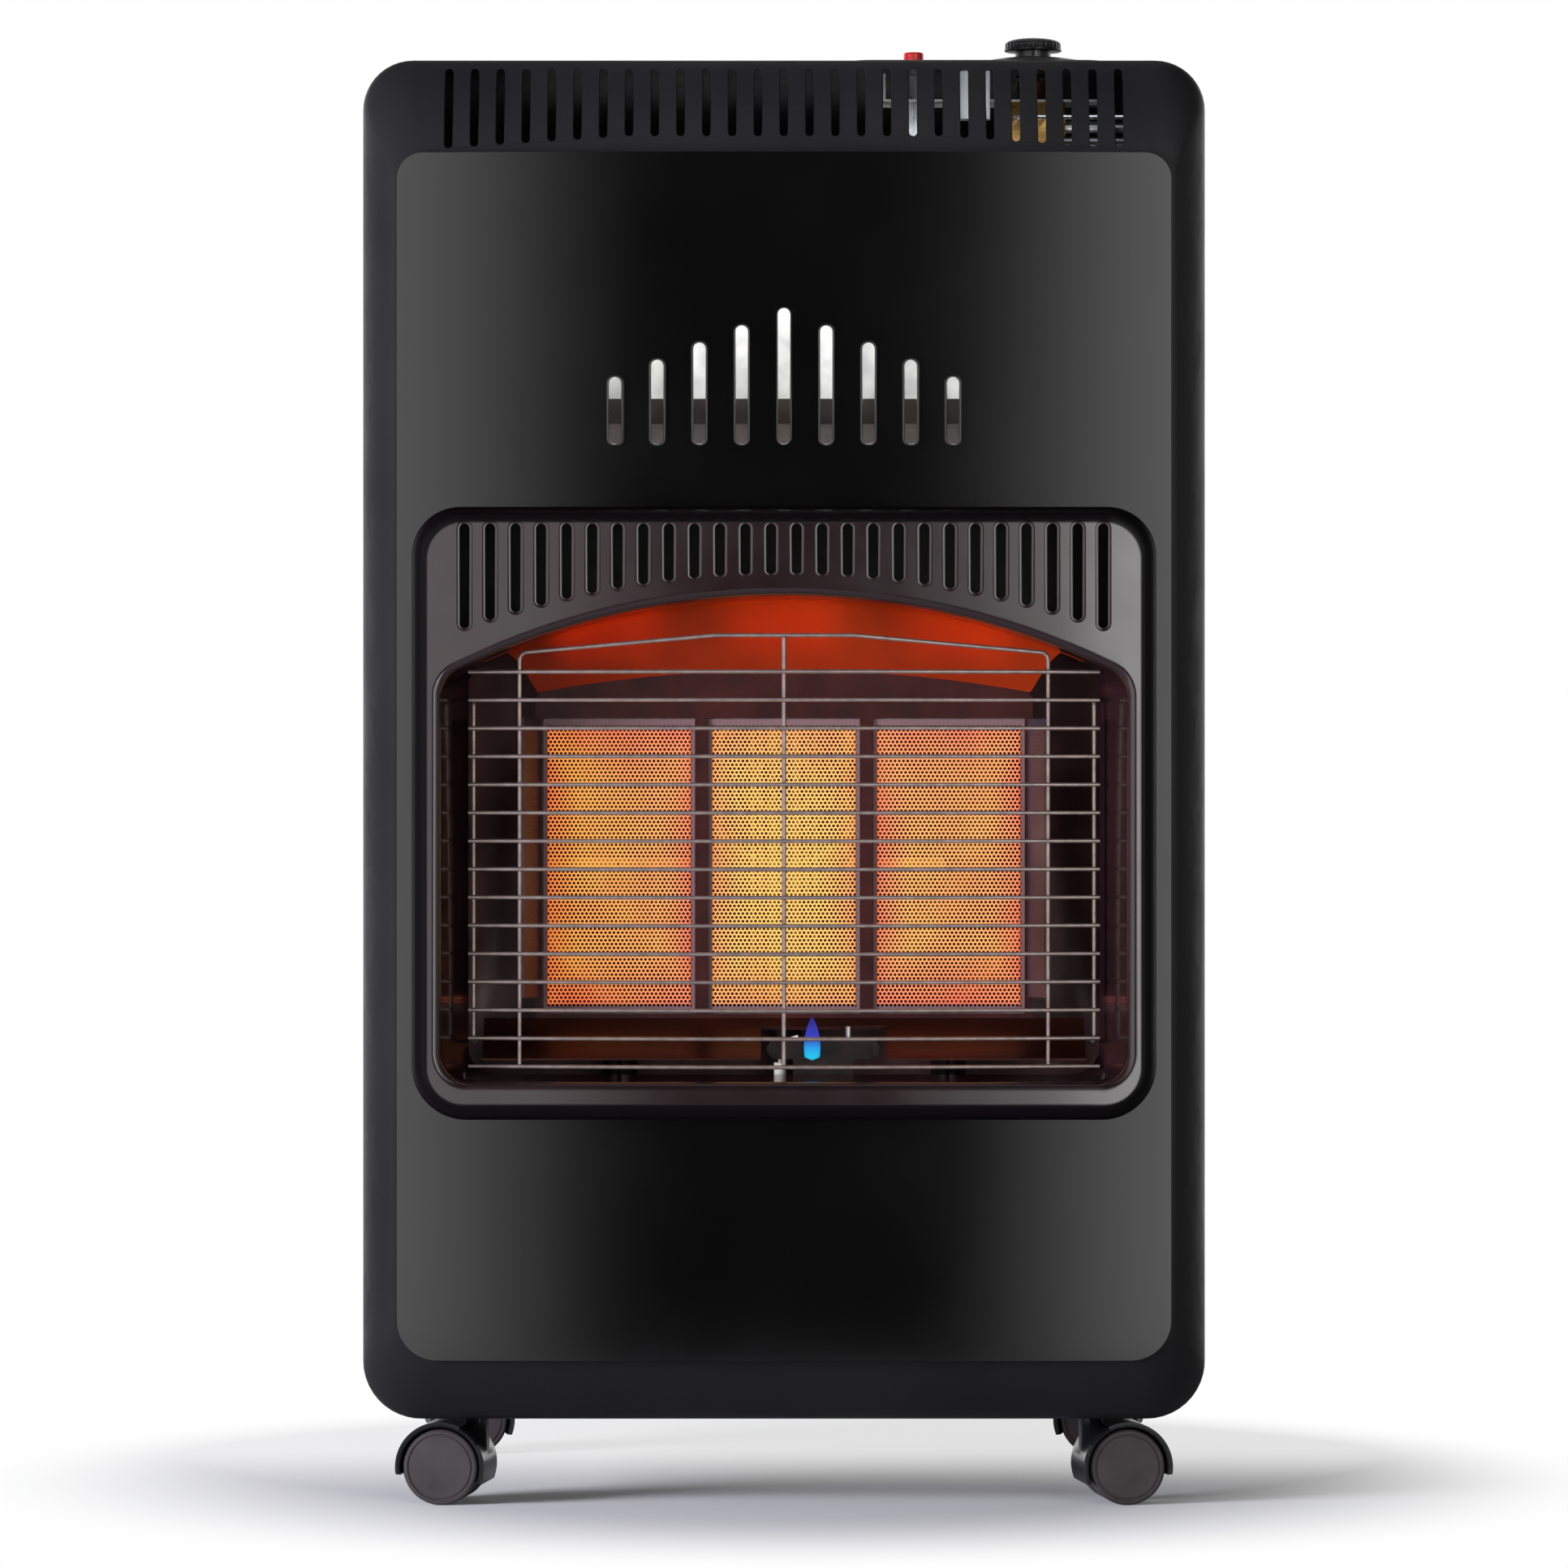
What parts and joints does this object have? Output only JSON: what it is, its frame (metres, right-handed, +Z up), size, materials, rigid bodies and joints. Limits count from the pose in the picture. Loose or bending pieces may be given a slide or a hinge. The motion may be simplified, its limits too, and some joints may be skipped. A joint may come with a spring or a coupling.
{
  "type": "portable gas cabinet heater",
  "caption": "Portable gas cabinet heater with glowing ceramic plaques behind a wire guard, a slotted steel cabinet on twin-wheel castors, and a knob and ignition button on top.",
  "frame": {"origin": "on the floor under the middle of the heater", "axes": "+X to the viewer's right, +Y to the back, +Z up; the burner window looks along -Y"},
  "size_m": [0.42, 0.4, 0.7381],
  "materials": {
    "surround_paint": "matte fine-textured powder coat",
    "panel_paint": "satin to gloss black paint",
    "cabinet_paint": "satin black powder coat",
    "black_screws": "blackened screw heads",
    "galvanised_sheet": "galvanised sheet",
    "chassis_sheet": "aluminised sheet, heat stained",
    "burner_steel": "heat-resisting dark finish",
    "zinc_steel": "bright zinc plated steel",
    "bezel_enamel": "gloss vitreous enamel, brown black",
    "guard_wire": "plated wire",
    "reflector_steel": "polished stainless sheet",
    "gasket_fibre": "ceramic fibre strip",
    "brass": "machined brass",
    "white_insulator": "glazed white ceramic",
    "aluminium_tube": "drawn tube",
    "lead_rubber": "silicone rubber lead",
    "plate_plastic": "moulded satin black",
    "knob_plastic": "moulded gloss black",
    "button_red": "moulded gloss red",
    "switch_white": "moulded white housing",
    "castor_plastic": "moulded gloss black",
    "wheel_plastic": "moulded matte black tread and cap",
    "glowing_ceramic": "porous ceramic, glowing orange in use"
  },
  "bodies": {
    "root": {"front_surround": "surround_paint", "front_panel": "panel_paint", "side_panel_left": "cabinet_paint", "side_panel_right": "cabinet_paint", "top_cover": "cabinet_paint", "base_plate": "cabinet_paint", "cabinet_screws": "black_screws", "heat_shield": "galvanised_sheet", "heat_deflector": "burner_steel", "cover_studs": "zinc_steel", "burner_bezel": "bezel_enamel", "wire_guard": "guard_wire", "burner_chassis": "chassis_sheet", "burner_frame": "burner_steel", "reflector_upper": "reflector_steel", "reflector_lower": "reflector_steel", "reflector_left": "reflector_steel", "reflector_right": "reflector_steel", "ceramic_plaque_left": "glowing_ceramic", "ceramic_plaque_centre": "glowing_ceramic", "ceramic_plaque_right": "glowing_ceramic", "burner_box_left": "chassis_sheet", "burner_box_centre": "chassis_sheet", "burner_box_right": "chassis_sheet", "plaque_gaskets": "gasket_fibre", "injector_rail": "galvanised_sheet", "pilot_bracket": "burner_steel", "pilot_burner": "brass", "thermocouple": "zinc_steel", "spark_electrode": "white_insulator", "gas_tubes": "aluminium_tube", "pilot_tube": "aluminium_tube", "ignition_lead": "lead_rubber", "gas_valve": "brass", "valve_bracket": "galvanised_sheet", "gas_inlet": "brass", "control_plate": "plate_plastic", "piezo_igniter": "zinc_steel", "tilt_switch": "switch_white", "castor_sockets": "castor_plastic"},
    "rear_cover": {"rear_cover": "cabinet_paint"},
    "valve_spindle": {"valve_spindle": "zinc_steel"},
    "control_knob": {"control_knob": "knob_plastic"},
    "ignition_button": {"ignition_button": "button_red"},
    "castor_front_left": {"castor_hood_front_left": "castor_plastic", "castor_pins_front_left": "zinc_steel"},
    "castor_wheel_front_left_a": {"castor_wheel_front_left_a": "wheel_plastic"},
    "castor_wheel_front_left_b": {"castor_wheel_front_left_b": "wheel_plastic"},
    "castor_front_right": {"castor_hood_front_right": "castor_plastic", "castor_pins_front_right": "zinc_steel"},
    "castor_wheel_front_right_a": {"castor_wheel_front_right_a": "wheel_plastic"},
    "castor_wheel_front_right_b": {"castor_wheel_front_right_b": "wheel_plastic"},
    "castor_rear_left": {"castor_hood_rear_left": "castor_plastic", "castor_pins_rear_left": "zinc_steel"},
    "castor_wheel_rear_left_a": {"castor_wheel_rear_left_a": "wheel_plastic"},
    "castor_wheel_rear_left_b": {"castor_wheel_rear_left_b": "wheel_plastic"},
    "castor_rear_right": {"castor_hood_rear_right": "castor_plastic", "castor_pins_rear_right": "zinc_steel"},
    "castor_wheel_rear_right_a": {"castor_wheel_rear_right_a": "wheel_plastic"},
    "castor_wheel_rear_right_b": {"castor_wheel_rear_right_b": "wheel_plastic"}
  },
  "joints": [
    {"name": "rear_cover_slide", "type": "slide", "parent": "root", "child": "rear_cover", "axis": [0, 1, 0], "range_m": [0, 0.3]},
    {"name": "knob_turn", "type": "hinge", "parent": "root", "child": "valve_spindle", "pos_m": [0.126, -0.1085, 0.7], "axis": [0, 0, 1], "range_deg": [0, 210]},
    {"name": "knob_push", "type": "slide", "parent": "valve_spindle", "child": "control_knob", "axis": [0, 0, -1], "range_m": [0, 0.003], "stiffness_N_per_m": 1500, "springref_m": -0.001},
    {"name": "button_push", "type": "slide", "parent": "root", "child": "ignition_button", "axis": [0, 0, -1], "range_m": [0, 0.0035], "stiffness_N_per_m": 1200, "springref_m": -0.001},
    {"name": "castor_front_left_swivel", "type": "hinge", "parent": "root", "child": "castor_front_left", "pos_m": [-0.154, -0.134, 0.046], "axis": [0, 0, 1], "continuous": true},
    {"name": "castor_wheel_front_left_a_spin", "type": "hinge", "parent": "castor_front_left", "child": "castor_wheel_front_left_a", "pos_m": [-0.16984, -0.13177, 0.019], "axis": [-0.1392, -0.9903, 0], "continuous": true},
    {"name": "castor_wheel_front_left_b_spin", "type": "hinge", "parent": "castor_front_left", "child": "castor_wheel_front_left_b", "pos_m": [-0.16984, -0.13177, 0.019], "axis": [-0.1392, -0.9903, 0], "continuous": true},
    {"name": "castor_front_right_swivel", "type": "hinge", "parent": "root", "child": "castor_front_right", "pos_m": [0.154, -0.134, 0.046], "axis": [0, 0, 1], "continuous": true},
    {"name": "castor_wheel_front_right_a_spin", "type": "hinge", "parent": "castor_front_right", "child": "castor_wheel_front_right_a", "pos_m": [0.16984, -0.13177, 0.019], "axis": [-0.1392, 0.9903, 0], "continuous": true},
    {"name": "castor_wheel_front_right_b_spin", "type": "hinge", "parent": "castor_front_right", "child": "castor_wheel_front_right_b", "pos_m": [0.16984, -0.13177, 0.019], "axis": [-0.1392, 0.9903, 0], "continuous": true},
    {"name": "castor_rear_left_swivel", "type": "hinge", "parent": "root", "child": "castor_rear_left", "pos_m": [-0.154, 0.134, 0.046], "axis": [0, 0, 1], "continuous": true},
    {"name": "castor_wheel_rear_left_a_spin", "type": "hinge", "parent": "castor_rear_left", "child": "castor_wheel_rear_left_a", "pos_m": [-0.16984, 0.13177, 0.019], "axis": [0.1392, -0.9903, 0], "continuous": true},
    {"name": "castor_wheel_rear_left_b_spin", "type": "hinge", "parent": "castor_rear_left", "child": "castor_wheel_rear_left_b", "pos_m": [-0.16984, 0.13177, 0.019], "axis": [0.1392, -0.9903, 0], "continuous": true},
    {"name": "castor_rear_right_swivel", "type": "hinge", "parent": "root", "child": "castor_rear_right", "pos_m": [0.154, 0.134, 0.046], "axis": [0, 0, 1], "continuous": true},
    {"name": "castor_wheel_rear_right_a_spin", "type": "hinge", "parent": "castor_rear_right", "child": "castor_wheel_rear_right_a", "pos_m": [0.16984, 0.13177, 0.019], "axis": [0.1392, 0.9903, 0], "continuous": true},
    {"name": "castor_wheel_rear_right_b_spin", "type": "hinge", "parent": "castor_rear_right", "child": "castor_wheel_rear_right_b", "pos_m": [0.16984, 0.13177, 0.019], "axis": [0.1392, 0.9903, 0], "continuous": true}
  ]
}
